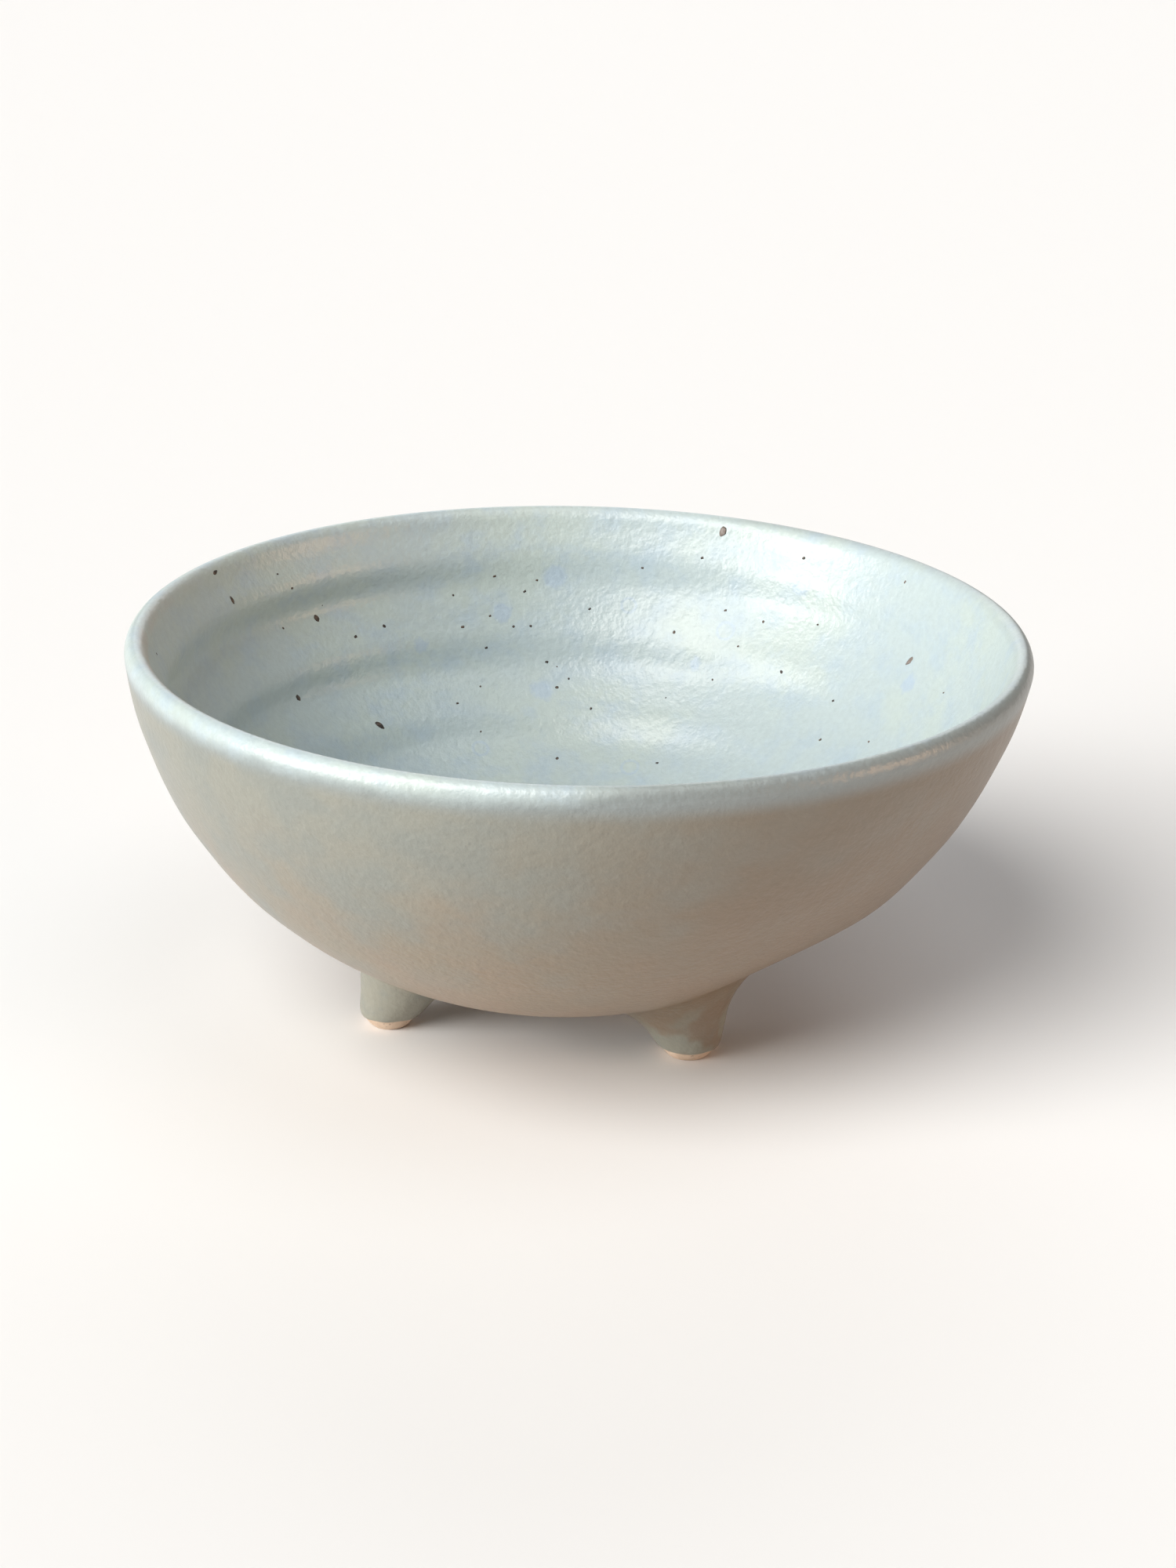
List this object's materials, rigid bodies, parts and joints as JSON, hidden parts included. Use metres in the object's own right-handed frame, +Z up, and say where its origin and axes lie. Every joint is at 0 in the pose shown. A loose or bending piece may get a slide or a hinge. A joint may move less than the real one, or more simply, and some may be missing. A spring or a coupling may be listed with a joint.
{
  "type": "molcajete bowl",
  "caption": "Round wheel-thrown stoneware bowl in molcajete form, with a rounded lip, short splayed conical feet with bare tips, and a speckled satin glaze.",
  "frame": {"origin": "on the surface that the bowl stands on, under the middle of the bowl", "axes": "+Z up along the bowl's axis; +X to the right as the bowl is seen from -Y, with the feet at 200.7, 320.7 and 80.7 degrees about +Z from +X"},
  "size_m": [0.152, 0.152, 0.0705],
  "materials": {
    "stoneware": "bare fired clay, warm peach, matte",
    "inner_glaze": "satin speckled celadon grey with iron specks",
    "outer_glaze": "satin grey-green, breaking to tan lower down"
  },
  "bodies": {
    "root": {"bowl_body": "stoneware", "foot_left": "stoneware", "foot_front": "stoneware", "foot_back": "stoneware", "luting_left": "stoneware", "luting_front": "stoneware", "luting_back": "stoneware", "inner_glaze": "inner_glaze", "outer_glaze": "outer_glaze"}
  },
  "joints": []
}
